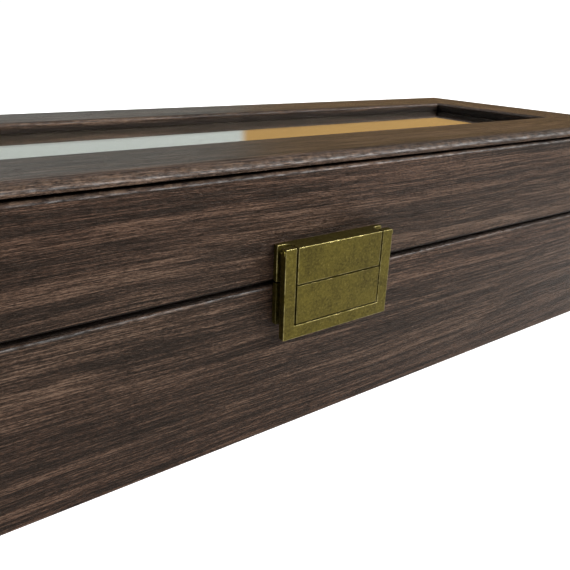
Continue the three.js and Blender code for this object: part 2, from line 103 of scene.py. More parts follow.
# Hinges
BARREL = 2 * MM
BARREL_OFFSET = 2.5 * MM
HINGE_PIN = 0.85 * MM
HINGE_BEVEL = 0.14 * MM
HINGE_PIN_DOME = 0.25 * MM
HINGE_PIN_WEAR = 0.3
LEAF_THICKNESS = 1.1 * MM
LEAF_FIT = 0.15 * MM  # mortise round a leaf
LEAF_BED = 0.05 * MM  # mortise under a leaf
LEAF_SETBACK = 0.3 * MM  # from the barrel to the leaf's plate
WEB_OVERLAP = 0.15 * MM
MORTISE_OVERRUN = 2.65 * MM  # how far its cutter passes the hinge's axis
KNUCKLE_GAP = 0.4 * MM
SCREW_HEAD = 1.7 * MM
SCREW_CONE = 0.9 * MM
SCREW_SHANK = 0.8 * MM
SCREW_LENGTH = 7 * MM
SCREW_SLOT = 0.5 * MM
SCREW_SLOT_LENGTH = 2.2 * MM
SCREW_SLOT_DEPTH = 0.45 * MM
SCREW_SPREAD = 19 * MM
SCREW_INSET = 3.7 * MM
SCREW_WEAR = 0.2
ROUND_SIDES = 48
DOME_STEPS = 5

# Pillows
PILLOW_SQUARENESS = 2.5
PILLOW_SKIN = 1.1 * MM  # room that the pillow fills as it swells
PILLOW_VOXEL = 1.9 * MM
PILLOW_FRAMES = 18
PILLOW_STATIONS = 17
PILLOW_ROUND = 72
PILLOW_UNEVEN = 0.06 * MM  # random pushes that start its creases
PILLOW_REACH = 2.6 * MM  # farthest that a point may move
PILLOW_HELD = 0.86  # share of an end's oval past which it is held by the seam
PIPING = 0.75 * MM
PIPING_INSET = 0.4 * MM
PIPING_LIFT = 0.25 * MM
TRIM_POINTS = 120
STITCH_INSET = 2.2 * MM
STITCH_LIFT = 0.08 * MM
STITCH_PITCH = 3.2 * MM
STITCH_LENGTH = 2.1 * MM
STITCH_RADIUS = 0.28 * MM
PIPING_SIDES = 10
STITCH_SEGMENTS = 8
STITCH_RINGS = 6


# Node trees


class Tree:
    """Adds nodes to a node tree. An input that is a socket is linked, and any other is set."""

    def __init__(self, tree):
        self.tree = tree

    def node(self, kind, inputs=None, **settings):
        made = self.tree.nodes.new(kind)
        for name, value in settings.items():
            setattr(made, name, value)
        for name, value in (inputs or {}).items():
            self.feed(made.inputs[name], value)
        return made

    def out(self, kind, inputs=None, **settings):
        """The first output of a new node."""
        return self.node(kind, inputs, **settings).outputs[0]

    def feed(self, socket, value):
        if isinstance(value, bpy.types.NodeSocket):
            self.tree.links.new(value, socket)
        else:
            socket.default_value = value

    def math(self, operation, *values, clamp=False):
        inputs = dict(enumerate(values))
        return self.out("ShaderNodeMath", inputs, operation=operation, use_clamp=clamp)

    def vector(self, operation, *values):
        return self.out("ShaderNodeVectorMath", dict(enumerate(values)), operation=operation)

    def scaled(self, vector, x, y, z):
        return self.vector("MULTIPLY", vector, (x, y, z))

    def joined(self, x, y, z):
        return self.out("ShaderNodeCombineXYZ", {"X": x, "Y": y, "Z": z})

    def split(self, vector):
        return self.node("ShaderNodeSeparateXYZ", {"Vector": vector}).outputs

    def noise(self, vector, scale=1.0, detail=2.0, roughness=0.5, distortion=0.0):
        inputs = {"Vector": vector, "Scale": scale, "Detail": detail}
        inputs.update({"Roughness": roughness, "Distortion": distortion})
        return self.node("ShaderNodeTexNoise", inputs).outputs["Fac"]

    def remap(self, value, low, high, start=0.0, end=1.0, smooth=False):
        inputs = {"Value": value, "From Min": low, "From Max": high, "To Min": start, "To Max": end}
        kind = "SMOOTHSTEP" if smooth else "LINEAR"
        return self.out("ShaderNodeMapRange", inputs, interpolation_type=kind, clamp=True)

    def mix(self, factor, first, second, blend="MIX"):
        made = self.node("ShaderNodeMix", data_type="RGBA", blend_type=blend, clamp_factor=True)
        self.feed(made.inputs[0], factor)
        self.feed(made.inputs[6], first)
        self.feed(made.inputs[7], second)
        return made.outputs[2]

    def ramp(self, value, stops):
        made = self.node("ShaderNodeValToRGB", {"Fac": value})
        elements = made.color_ramp.elements
        while len(elements) < len(stops):
            elements.new(0.5)
        for element, (position, colour) in zip(elements, stops):
            element.position = position
            element.color = colour
        return made.outputs["Color"]


def srgb(red, green, blue):
    """A linear colour from 0 to 255 display values."""
    channels = [c / 255 for c in (red, green, blue)]
    linear = [c / 12.92 if c <= 0.04045 else ((c + 0.055) / 1.055) ** 2.4 for c in channels]
    return (*linear, 1.0)


def node_group(family, name, inputs, outputs):
    """An empty Shader or Geometry group: its tree helper, what it is given and where its results go.

    An input is (label, kind) or (label, kind, default).
    """
    tree = bpy.data.node_groups.new(name, family + "NodeTree")
    for label, kind, *default in inputs:
        socket = tree.interface.new_socket(name=label, in_out="INPUT", socket_type="NodeSocket" + kind)
        if default:
            socket.default_value = default[0]
    for label, kind in outputs:
        tree.interface.new_socket(name=label, in_out="OUTPUT", socket_type="NodeSocket" + kind)
    return Tree(tree), tree.nodes.new("NodeGroupInput").outputs, tree.nodes.new("NodeGroupOutput").inputs


def placed_group(t, group, inputs):
    made = t.tree.nodes.new("ShaderNodeGroup")
    made.node_tree = group
    for name, value in inputs.items():
        t.feed(made.inputs[name], value)
    return made.outputs


def wood_grain_group():
    """Walnut figure printed and pressed into foil. The vector is metres along and across the grain."""
    inputs = [("Vector", "Vector"), ("Seed", "Float", 0.0)]
    outputs = [("Color", "Color"), ("Roughness", "Float"), ("Height", "Float")]
    t, given, result = node_group("Shader", "wood_grain", inputs, outputs)
    along, across, _ = t.split(given["Vector"])
    seeded = t.joined(along, across, given["Seed"])
    drift = t.math("SUBTRACT", t.noise(t.scaled(seeded, 4, 14, 3.1), detail=2), 0.5)
    ripple = t.math("SUBTRACT", t.noise(t.scaled(seeded, 30, 90, 5.3), detail=2), 0.5)
    bent = t.math("MULTIPLY_ADD", drift, 0.013, across)
    bent = t.math("MULTIPLY_ADD", ripple, 0.0010, bent)
    figure = t.joined(along, bent, given["Seed"])
    growth = t.noise(t.scaled(figure, 2.4, 58, 1.7), detail=1.5, roughness=0.5)
    rings = t.math("FRACT", t.math("MULTIPLY", growth, 7.0))
    rings = t.math("MULTIPLY", rings, t.remap(rings, 0.86, 1.0, 1.0, 0.0))
    streaks = t.remap(t.noise(t.scaled(figure, 6, 520, 2.3), detail=3, roughness=0.65), 0.36, 0.64)
    fibres = t.remap(t.noise(t.scaled(figure, 48, 2400, 2.9), detail=3, roughness=0.7), 0.395, 0.605)
    flecks = t.remap(t.noise(t.scaled(figure, 900, 4300, 3.3), detail=2, roughness=0.7), 0.39, 0.61)
    pores = t.noise(t.scaled(figure, 240, 4800, 3.7), detail=2)
    tone = t.math("MULTIPLY", rings, 0.24)
    tone = t.math("MULTIPLY_ADD", streaks, 0.20, tone)
    tone = t.math("MULTIPLY_ADD", fibres, 0.32, tone)
    tone = t.math("MULTIPLY_ADD", flecks, 0.24, tone)
    colour = t.ramp(tone, [
        (0.20, srgb(11, 6, 4)),
        (0.36, srgb(25, 17, 13)),
        (0.48, srgb(43, 31, 24)),
        (0.62, srgb(65, 49, 39)),
        (0.80, srgb(94, 76, 63)),
    ])
    tick = t.remap(pores, 0.55, 0.63)
    dark_tick = t.mix(t.math("MULTIPLY", tick, 0.7), colour, srgb(11, 8, 6))
    warm = t.remap(t.noise(t.scaled(figure, 3, 30, 6.1), detail=2), 0.40, 0.62)
    final = t.mix(t.math("MULTIPLY", warm, 0.25), dark_tick, srgb(150, 92, 66), "SOFT_LIGHT")
    t.feed(result["Color"], final)
    t.feed(result["Roughness"], t.remap(fibres, 0.0, 1.0, 0.46, 0.34))
    pressed = t.math("MULTIPLY", tick, -0.9)
    raised = t.math("MULTIPLY_ADD", flecks, 0.5, t.math("MULTIPLY", fibres, 0.5))
    t.feed(result["Height"], t.math("ADD", raised, pressed))
    return t.tree


def edge_wear_group():
    """Where an eased edge is rubbed: the edge mask broken up by noise."""
    inputs = [("Vector", "Vector"), ("Edge", "Float", 0.0), ("Scale", "Float", 200.0)]
    inputs += [("Bare", "Float", 0.5)]
    t, given, result = node_group("Shader", "edge_wear", inputs, [("Mask", "Float")])
    patches = t.noise(given["Vector"], given["Scale"], detail=5, roughness=0.65)
    low = t.math("SUBTRACT", 1.0, given["Bare"])
    reach = t.math("MULTIPLY_ADD", patches, 0.9, t.math("MULTIPLY", given["Edge"], 0.62))
    start = t.math("ADD", low, 0.30)
    opened = t.math("DIVIDE", t.math("SUBTRACT", reach, start), 0.22, clamp=True)
    t.feed(result["Mask"], t.math("MULTIPLY", opened, t.remap(given["Edge"], 0.0, 0.3)))
    return t.tree


def nap_group():
    """Short pile that lies in brushed patches, with single fibres catching the light."""
    inputs = [("Vector", "Vector"), ("Base", "Color", (0.5, 0.5, 0.5, 1.0))]
    inputs += [("Brushed", "Color", (0.6, 0.6, 0.6, 1.0)), ("Patch scale", "Float", 60.0)]
    inputs += [("Fibre scale", "Float", 4200.0)]
    outputs = [("Color", "Color"), ("Roughness", "Float"), ("Height", "Float")]
    t, given, result = node_group("Shader", "nap", inputs, outputs)
    patches = t.noise(given["Vector"], given["Patch scale"], detail=4, roughness=0.6, distortion=0.3)
    fibres = t.noise(given["Vector"], given["Fibre scale"], detail=2, roughness=0.7)
    brushed = t.remap(patches, 0.42, 0.62, smooth=True)
    colour = t.mix(brushed, given["Base"], given["Brushed"])
    speck = t.remap(fibres, 0.35, 0.7, 0.62, 1.25)
    t.feed(result["Color"], t.mix(1.0, colour, t.joined(speck, speck, speck), "MULTIPLY"))
    t.feed(result["Roughness"], t.remap(fibres, 0.3, 0.7, 0.86, 1.0))
    t.feed(result["Height"], t.math("MULTIPLY_ADD", patches, 0.1, fibres))
    return t.tree


def patina_group():
    """Aged plating: brown and olive clouds, small pits, and a dull film that thins in spots."""
    inputs = [("Vector", "Vector"), ("Dark", "Color"), ("Olive", "Color")]
    inputs += [("Bright", "Color")]
    outputs = [("Color", "Color"), ("Roughness", "Float"), ("Height", "Float")]
    t, given, result = node_group("Shader", "patina", inputs, outputs)
    clouds = t.noise(given["Vector"], 150.0, detail=4, roughness=0.6, distortion=0.5)
    mottle = t.noise(given["Vector"], 1300.0, detail=4, roughness=0.75)
    pits = t.noise(given["Vector"], 2600.0, detail=3, roughness=0.6)
    tone = t.math("MULTIPLY_ADD", mottle, 0.62, t.math("MULTIPLY", clouds, 0.38))
    body = t.mix(t.remap(tone, 0.36, 0.62), given["Dark"], given["Olive"])
    spots = t.remap(t.math("MULTIPLY_ADD", pits, 0.4, t.math("MULTIPLY", mottle, 0.6)), 0.58, 0.70)
    t.feed(result["Color"], t.mix(t.math("MULTIPLY", spots, 0.28), body, given["Bright"]))
    t.feed(result["Roughness"], t.remap(tone, 0.36, 0.64, 0.50, 0.34))
    t.feed(result["Height"], t.math("MULTIPLY_ADD", mottle, 0.6, pits))
    return t.tree


# Materials


def emptied(owner):
    """The node tree of a material or world, with nothing left in it."""
    owner.use_nodes = True
    owner.node_tree.nodes.clear()
    return Tree(owner.node_tree)


def new_material(name):
    material = bpy.data.materials.new(name)
    t = emptied(material)
    shader = t.node("ShaderNodeBsdfPrincipled")
    output = t.node("ShaderNodeOutputMaterial")
    t.feed(output.inputs["Surface"], shader.outputs[0])
    return material, t, shader, output


def split_by_ray(t, output, ray, usual, chosen):
    """Ends a tree in the chosen shader for one kind of ray and the usual one for the rest."""
    is_chosen = t.node("ShaderNodeLightPath").outputs[ray]
    t.feed(output.inputs["Surface"], t.out("ShaderNodeMixShader", {0: is_chosen, 1: usual, 2: chosen}))


def bump(t, height, distance, strength=1.0):
    inputs = {"Height": height, "Distance": distance, "Strength": strength}
    return t.out("ShaderNodeBump", inputs)


def object_coordinates(t):
    return t.node("ShaderNodeTexCoord").outputs["Object"]


def edge_attribute(t):
    return t.node("ShaderNodeAttribute", attribute_name="edge").outputs["Fac"]


def walnut_material(grain, wear):
    material, t, shader, _ = new_material("walnut_wrap")
    plan = t.out("ShaderNodeUVMap", uv_map="grain")
    board = t.node("ShaderNodeAttribute", attribute_name="board").outputs["Fac"]
    wood = placed_group(t, grain, {"Vector": plan, "Seed": board})
    worn = placed_group(t, wear, {
        "Vector": object_coordinates(t),
        "Edge": edge_attribute(t),
        "Scale": 340.0,
        "Bare": 0.30,
    })["Mask"]
    rubbed = t.mix(t.math("MULTIPLY", worn, 0.5), wood["Color"], srgb(120, 98, 80))
    # Painted shade: seams and the faces beside them are darkened almost to black where shade falls, under the
    # lid, under the rail and on the rail's inner face.
    painted_shade = t.node("ShaderNodeAttribute", attribute_name="painted_shade").outputs["Fac"]
    with_painted_shade = t.mix(t.remap(painted_shade, 0.0, 0.5, 0.0, 0.97), rubbed, srgb(4, 3, 3))
    t.feed(shader.inputs["Base Color"], with_painted_shade)
    t.feed(shader.inputs["Roughness"], wood["Roughness"])
    t.feed(shader.inputs["Normal"], bump(t, wood["Height"], 0.12 * MM, 0.8))
    shader.inputs["Specular IOR Level"].default_value = 0.2
    shader.inputs["Specular Tint"].default_value = (1.0, 0.80, 0.66, 1)
    open_edge = t.remap(painted_shade, 0.0, 0.5, 1.0, 0.0)
    stretched = t.math("MULTIPLY", t.remap(edge_attribute(t), 0.42, 0.68), open_edge)
    broken = t.remap(t.noise(t.scaled(plan, 320, 1500, 1), detail=4, roughness=0.7), 0.42, 0.60, 0.1, 0.7)
    t.feed(shader.inputs["Coat Weight"], t.math("MULTIPLY", stretched, broken))
    shader.inputs["Coat Roughness"].default_value = 0.38
    return material


def brass_material(name, patina, wear, dark, olive, bright, bare):
    material, t, shader, _ = new_material(name)
    place = object_coordinates(t)
    film = placed_group(t, patina, {"Vector": place, "Dark": dark, "Olive": olive, "Bright": bright})
    worn = placed_group(t, wear, {
        "Vector": place,
        "Edge": edge_attribute(t),
        "Scale": 420.0,
        "Bare": bare,
    })["Mask"]
    t.feed(shader.inputs["Base Color"], t.mix(worn, film["Color"], bright))
    t.feed(shader.inputs["Metallic"], t.remap(worn, 0.0, 1.0, 0.82, 1.0))
    polished = t.math("MULTIPLY", worn, -0.16)
    t.feed(shader.inputs["Roughness"], t.math("ADD", film["Roughness"], polished))
    t.feed(shader.inputs["Normal"], bump(t, film["Height"], 0.05 * MM, 0.5))
    return material


def nap_material(name, nap, base, brushed, patch_scale, fibre_scale, sheen, depth=0.12 * MM):
    material, t, shader, _ = new_material(name)
    pile = placed_group(t, nap, {
        "Vector": object_coordinates(t),
        "Base": base,
        "Brushed": brushed,
        "Patch scale": patch_scale,
        "Fibre scale": fibre_scale,
    })
    t.feed(shader.inputs["Base Color"], pile["Color"])
    t.feed(shader.inputs["Roughness"], pile["Roughness"])
    t.feed(shader.inputs["Normal"], bump(t, pile["Height"], depth, 0.6))
    shader.inputs["Sheen Weight"].default_value = sheen
    shader.inputs["Sheen Roughness"].default_value = 0.45
    shader.inputs["Sheen Tint"].default_value = brushed
    shader.inputs["Specular IOR Level"].default_value = 0.15
    return material


def board_material():
    """Pressed fibreboard, with chips and dust in it."""
    material, t, shader, _ = new_material("bottom_board")
    place = object_coordinates(t)
    dust = t.noise(place, 1800.0, detail=3, roughness=0.7)
    chips = t.noise(t.scaled(place, 500, 900, 700), detail=3)
    tone = t.math("MULTIPLY_ADD", chips, 0.5, t.math("MULTIPLY", dust, 0.5))
    colour = t.ramp(tone, [(0.38, srgb(92, 68, 48)), (0.5, srgb(134, 104, 76)), (0.64, srgb(168, 138, 106))])
    t.feed(shader.inputs["Base Color"], colour)
    t.feed(shader.inputs["Roughness"], t.remap(dust, 0.3, 0.7, 0.75, 0.95))
    t.feed(shader.inputs["Normal"], bump(t, tone, 0.1 * MM, 0.5))
    return material


def glass_material():
    """Float glass with a trace of dust. Shadow rays pass, so that the inside is lit."""
    material, t, shader, output = new_material("window_glass")
    place = object_coordinates(t)
    haze = t.remap(t.noise(place, 38.0, detail=4, distortion=0.6), 0.45, 0.75, 0.0, 0.035)
    t.feed(shader.inputs["Roughness"], haze)
    tint = t.remap(t.noise(place, 6.0, detail=1), 0.3, 0.7)
    t.feed(shader.inputs["Base Color"], t.mix(tint, (0.955, 0.975, 0.965, 1), (0.97, 0.985, 0.975, 1)))
    t.feed(shader.inputs["Normal"], bump(t, t.noise(place, 9.0, detail=1), 0.05 * MM, 0.25))
    shader.inputs["Transmission Weight"].default_value = 1.0
    shader.inputs["IOR"].default_value = 1.5
    clear = t.out("ShaderNodeBsdfTransparent", {"Color": (0.9, 0.93, 0.91, 1)})
    split_by_ray(t, output, "Is Shadow Ray", shader.outputs[0], clear)
    return material


def thread_material():
    """Twisted thread: fine slanted stripes round each stitch."""
    material, t, shader, _ = new_material("thread")
    place = object_coordinates(t)
    twist = t.node("ShaderNodeTexWave", {"Vector": place, "Scale": 900.0, "Distortion": 1.5}).outputs["Fac"]
    t.feed(shader.inputs["Base Color"], t.mix(twist, srgb(120, 103, 84), srgb(182, 164, 138)))
    t.feed(shader.inputs["Roughness"], t.remap(twist, 0.0, 1.0, 0.8, 0.6))
    t.feed(shader.inputs["Normal"], bump(t, twist, 0.05 * MM, 0.5))
    return material


def build_materials():
    grain = wood_grain_group()
    wear = edge_wear_group()
    nap = nap_group()
    patina = patina_group()
    latch_colours = (srgb(58, 50, 12), srgb(98, 88, 31), srgb(156, 145, 96))
    hinge_colours = (srgb(112, 92, 44), srgb(168, 148, 86), srgb(226, 210, 156))
    return {
        "walnut_wrap": walnut_material(grain, wear),
        "antique_brass": brass_material("antique_brass", patina, wear, *latch_colours, 0.36),
        "hinge_brass": brass_material("hinge_brass", patina, wear, *hinge_colours, 0.42),
        "velvet_lining": nap_material(
            "velvet_lining", nap, srgb(52, 43, 35), srgb(60, 50, 41), 48.0, 3600.0, 0.18
        ),
        "pillow_suede": nap_material(
            "pillow_suede", nap, srgb(150, 132, 110), srgb(163, 146, 123), 60.0, 3000.0, 0.35
        ),
        "bottom_felt": nap_material(
            "bottom_felt", nap, srgb(33, 29, 27), srgb(52, 47, 44), 140.0, 2200.0, 0.2
        ),
        "bottom_board": board_material(),
        "window_glass": glass_material(),
        "thread": thread_material(),
    }


materials = build_materials()


# Mesh helpers


def new_object(name, mesh):
    made = bpy.data.objects.new(name, mesh)
    bpy.context.scene.collection.objects.link(made)
    return made


def object_from(bm, name):
    mesh = bpy.data.meshes.new(name)
    bm.to_mesh(mesh)
    bm.free()
    return new_object(name, mesh)


def smoothed(obj, angle=SHARP):
    obj.data.shade_smooth()
    obj.data.set_sharp_from_angle(angle=angle)
    return obj


def finished(obj, body, slot, *nodes):
    """Gives a piece its finish and its body, and hides the nodes that it stands for."""
    obj.data.materials.clear()
    obj.data.materials.append(materials[slot])
    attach(obj, body)
    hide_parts(*nodes)
    return obj


def applied(obj):
    """Turns an object's modifiers into its plain mesh."""
    graph = bpy.context.evaluated_depsgraph_get()
    graph.update()
    mesh = bpy.data.meshes.new_from_object(obj.evaluated_get(graph), depsgraph=graph)
    obj.modifiers.clear()
    old = obj.data
    obj.data = mesh
    bpy.data.meshes.remove(old)
    return obj


def boolean(obj, others, operation):
    for other in others:
        modifier = obj.modifiers.new("cut", "BOOLEAN")
        modifier.operation = operation
        modifier.solver = "EXACT"
        modifier.object = other
        applied(obj)
        bpy.data.objects.remove(other)
    return obj


def arc_mark(signed, share, shaded):
    """The edge mark at a share of an arc: 1 at its middle, and negative where a seam is painted dark as
    shade.
    """
    if signed == -EASED:
        return -1.0
    if share < shaded:
        return share / shaded - 1.0
    return math.copysign(math.sin(math.pi * (share - shaded) / (1.0 - shaded)), signed)


def rounded(corners, steps=ARC_STEPS, support=SUPPORT):
    """Points (x, y, edge) of a closed outline of (x, y, radius) corners.

    A corner becomes an arc with a support point at each side. A radius given as negative is in a seam that
    is painted dark as shade. A fourth number is the share of an arc, from its start, that lies in a seam and
    is painted dark. The painted shade of a seam reaches over the faces beside it too.
    """
    points = []
    for i, (x, y, signed, *seam) in enumerate(corners):
        shaded = seam[0] if seam else 0.0
        radius = abs(signed)
        corner = Vector((x, y))
        back = (Vector(corners[i - 1][:2]) - corner).normalized()
        ahead = (Vector(corners[(i + 1) % len(corners)][:2]) - corner).normalized()
        half = back.angle(ahead) / 2
        centre = corner + (back + ahead).normalized() * (radius / math.sin(half))
        reach = radius / math.tan(half)
        start = corner + back * reach - centre
        end = corner + ahead * reach - centre
        turn = math.atan2(start.x * end.y - start.y * end.x, start.dot(end))
        before = SEAM_SHADE if signed == -EASED or shaded else support
        after = SEAM_SHADE if signed == -EASED else support
        if support:
            points.append((*(corner + back * (reach + before)), 0.0))
        for step in range(steps + 1):
            share = step / steps
            swung = Matrix.Rotation(turn * share, 2) @ start + centre
            points.append((*swung, arc_mark(signed, share, shaded)))
        if support:
            points.append((*(corner + ahead * (reach + after)), 0.0))
    return points


def rectangle(a0, a1, b0, b1):
    return [(a0, b0), (a1, b0), (a1, b1), (a0, b1)]


# Where a prism's outline (a, b) lies, and which way its level runs


def upright(a, b, level):
    return a, b, level


def sideways(a, b, level):
    return level, a, b


def backwards(a, b, level):
    return a, level, b


def prism(name, outline, start, end, place):
    """A closed outline swept from one level to another. Place turns (a, b, level) into a point."""
    bm = bmesh.new()
    near = [bm.verts.new(place(a, b, start)) for a, b in outline]
    far = [bm.verts.new(place(a, b, end)) for a, b in outline]
    bm.faces.new(near)
    bm.faces.new(list(reversed(far)))
    for i in range(len(outline)):
        after = (i + 1) % len(outline)
        bm.faces.new([near[i], far[i], far[after], near[after]])
    bmesh.ops.recalc_face_normals(bm, faces=bm.faces)
    return object_from(bm, name)


def lathed(name, profile, sides=ROUND_SIDES):
    """A profile of (radius, height) turned round Z, closed where it meets the axis."""
    angles = [2 * math.pi * k / sides for k in range(sides)]
    rings = []
    for radius, height in profile:
        around = angles if radius else [0]
        rings.append([(radius * math.cos(a), radius * math.sin(a), height) for a in around])
    return skinned(name, rings)


def skinned(name, rings):
    """A closed mesh through rings of points. An end ring is capped, and a ring of one point is a pole."""
    bm = bmesh.new()
    rings = [[bm.verts.new(point) for point in ring] for ring in rings]
    for lower, upper in zip(rings, rings[1:]):
        count = max(len(lower), len(upper))
        for k in range(count):
            after = (k + 1) % count
            if len(lower) == 1:
                bm.faces.new([lower[0], upper[after], upper[k]])
            elif len(upper) == 1:
                bm.faces.new([lower[k], lower[after], upper[0]])
            else:
                bm.faces.new([lower[k], lower[after], upper[after], upper[k]])
    for ring in (rings[0], rings[-1]):
        if len(ring) > 1:
            bm.faces.new(ring)
    bmesh.ops.recalc_face_normals(bm, faces=bm.faces)
    return object_from(bm, name)


# Mitred boards: each side is the front one turned about the upright axis.
SIDES = [
    ("front", LENGTH, DEPTH, 0.0),
    ("right", DEPTH, LENGTH, math.pi / 2),
    ("back", LENGTH, DEPTH, math.pi),
    ("left", DEPTH, LENGTH, -math.pi / 2),
]


def board_columns(run, corner, gap):
    """Places along a board: (shift function, grain coordinate), from its left mitre to its right one."""
    half = run / 2 - corner

    def at(end, angle):
        def place(inwards):
            radius = max(corner - inwards, 0)
            beyond = max(inwards - corner, 0)
            x = half - beyond + radius * math.sin(angle) - gap
            return end * x, corner + beyond - radius * math.cos(angle)

        return place, end * (half + corner * angle)

    angles = [math.pi / 4 * step / CORNER_STEPS for step in range(CORNER_STEPS + 1)]
    left = [at(-1, angle) for angle in reversed(angles)]
    right = [at(1, angle) for angle in angles]
    return left + right


def mitred_board(name, run, across, turn, profile, gap, start, seed):
    """A board swept along one side, with its grain's coordinates in metres."""
    bm = bmesh.new()
    edge = bm.verts.layers.float.new("edge")
    painted_shade = bm.verts.layers.float.new("painted_shade")
    board = bm.verts.layers.float.new("board")
    grain = bm.loops.layers.uv.new("grain")
    columns = board_columns(run, CORNER, gap)
    around = Matrix.Rotation(turn, 3, "Z")
    rings = []
    for place, _ in columns:
        ring = []
        for inwards, height, share in profile:
            x, y = place(inwards)
            vert = bm.verts.new(around @ Vector((x, y - across / 2, height)))
            vert[edge] = max(share, 0.0)
            # A negative mark is painted shade in a seam.
            vert[painted_shade] = max(-share, 0.0)
            vert[board] = seed
            ring.append(vert)
        rings.append(ring)
    lengths = [0.0]
    for a, b in zip(profile, profile[1:] + profile[:1]):
        lengths.append(lengths[-1] + math.dist(a[:2], b[:2]))
    for j in range(len(rings) - 1):
        along = (start + columns[j][1], start + columns[j + 1][1])
        for i in range(len(profile)):
            after = (i + 1) % len(profile)
            face = bm.faces.new([rings[j][i], rings[j][after], rings[j + 1][after], rings[j + 1][i]])
            corners = [(along[0], lengths[i]), (along[0], lengths[i + 1])]
            corners += [(along[1], lengths[i + 1]), (along[1], lengths[i])]
            for loop, place in zip(face.loops, corners):
                loop[grain].uv = place
    for ring, along in ((rings[0], columns[0][1]), (rings[-1], columns[-1][1])):
        face = bm.faces.new(ring)
        for loop in face.loops:
            loop[grain].uv = (start + along, loop.vert.co.z)
    bmesh.ops.remove_doubles(bm, verts=bm.verts, dist=1e-7)
    bmesh.ops.dissolve_degenerate(bm, edges=bm.edges, dist=1e-7)
    bmesh.ops.recalc_face_normals(bm, faces=bm.faces)
    return object_from(bm, name)


def board_profile(node, low_out, low_in, high_in, high_out, shaded=0.0):
    """A front board's section as (distance in from the case's face, height, radius) corners."""
    low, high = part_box(node)
    near = low.y - FRONT
    far = high.y - FRONT
    return rounded([
        (near, low.z, low_out),
        (far, low.z, low_in),
        (far, high.z, high_in),
        (near, high.z, high_out, shaded),
    ])


def hinge_mortises(up):
    """Cutters that let the hinge leaves into the back wall's edge, up 1 in the lid and -1 in the base."""
    cutters = []
    for side in ("left", "right"):
        leaf = "lid" if up > 0 else "base"
        low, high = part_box(f"hinge_{side}_{leaf}_leaf")
        reach = BARREL_OFFSET + MORTISE_OVERRUN
        seat = LEAF_THICKNESS + LEAF_BED
        face = LID_BOTTOM if up > 0 else SPLIT
        levels = sorted((face - up * MM, face + up * seat))
        outline = rectangle(low.y - LEAF_FIT, BACK + reach, *levels)
        cutters.append(prism("mortise", outline, low.x - LEAF_FIT, high.x + LEAF_FIT, sideways))
    return cutters


def board_set(prefix, suffix, radii, slot, body, gap=0, seed=0, wrapped=False, mortise=0):
    """The four mitred boards of one ring. A wrapped ring's grain runs on round the corners."""
    profile = board_profile(f"{prefix}_front_{suffix}", *radii)
    start = 0.0
    for i, (side, run, across, turn) in enumerate(SIDES):
        node = f"{prefix}_{side}_{suffix}"
        own = seed if wrapped else seed + GRAIN_SEED_STEP * i
        made = mitred_board(f"{node}_board", run, across, turn, profile, gap, start, own)
        if mortise and side == "back":
            boolean(made, hinge_mortises(mortise), "DIFFERENCE")
        finished(smoothed(made), body, slot, node)
        after = SIDES[(i + 1) % len(SIDES)][1]
        start += (run + after) / 2 - 4 * CORNER + math.pi / 2 * CORNER + 2 * CORNER


def build_boards():
    # Negative radii and the lip's shaded share are painted shade: the base's lip under the lid, the lid's
    # foot, and the rail's underside and inner face.
    wall = (FOOT_RADIUS, EASED, EASED, LIP_RADIUS, LIP_SHADED)
    board_set("base", "wall", wall, "walnut_wrap", "base", seed=1.3, wrapped=True, mortise=-1)
    wall = (LID_FOOT_RADIUS, EASED, EASED, SEAM_RADIUS)
    board_set("lid", "wall", wall, "walnut_wrap", "lid", seed=7.9, wrapped=True, mortise=1)
    rail = (RAIL_UNDER_RADIUS, -EASED, RAIL_INNER_RADIUS, RAIL_NOSE_RADIUS)
    board_set("lid", "top_rail", rail, "walnut_wrap", "lid", MITRE_GAP, seed=12.1)
    stop = (EASED, LINING_RADIUS, EASED, EASED)
    board_set("window", "stop", stop, "velvet_lining", "lid", MITRE_GAP)
    lip = (EASED, EASED, LINING_RADIUS, LINING_RADIUS)
    board_set("base", "lining", lip, "velvet_lining", "base", MITRE_GAP)
    hem = (LINING_RADIUS, LINING_RADIUS, EASED, EASED)
    board_set("lid", "lining", hem, "velvet_lining", "lid", MITRE_GAP)


def build_dividers():
    """Velvet over thin board, with a rounded top edge."""
    for number in range(1, 6):
        low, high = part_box(f"divider_{number}")
        half = (high.x - low.x) / 2
        middle = (high.x + low.x) / 2
        section = rounded([
            (middle - half, low.z, EASED),
            (middle + half, low.z, EASED),
            (middle + half, high.z, half * 0.9),
            (middle - half, high.z, half * 0.9),
        ], support=0)
        outline = [(x, z) for x, z, _ in section]
        made = prism(f"divider_{number}_velvet", outline, low.y, high.y, backwards)
        finished(smoothed(made), "base", "velvet_lining", f"divider_{number}")


def eased(obj, width, wear, angle=math.radians(35)):
    """Bevels the convex edges and marks them in the edge attribute, which fades over the flat sides."""
    bm = bmesh.new()
    bm.from_mesh(obj.data)
    bmesh.ops.remove_doubles(bm, verts=bm.verts, dist=1e-7)
    bmesh.ops.dissolve_limit(bm, angle_limit=math.radians(1), verts=bm.verts, edges=bm.edges)
    edge = bm.verts.layers.float.new("edge")
    sharp = [e for e in bm.edges if len(e.link_faces) == 2 and e.calc_face_angle(0) > angle and e.is_convex]
    made = bmesh.ops.bevel(
        bm, geom=sharp, offset=width, segments=3, profile=0.5, affect="EDGES", clamp_overlap=True
    )
    for face in made["faces"]:
        for vert in face.verts:
            vert[edge] = 1.0
    flat = [face for face in bm.faces if face not in set(made["faces"])]
    bmesh.ops.inset_region(bm, faces=flat, thickness=wear, use_even_offset=False, use_boundary=True)
    for face in flat:
        for vert in face.verts:
            vert[edge] = 0.0
    bm.to_mesh(obj.data)
    bm.free()
    return obj


def bar_along_x(name, radius, start, end, y, z):
    bar = lathed(name, [(0, start), (radius, start), (radius, end), (0, end)])
    bar.data.transform(Matrix.Translation((0, y, z)) @ Matrix.Rotation(math.pi / 2, 4, "Y"))
    return bar


# Latch


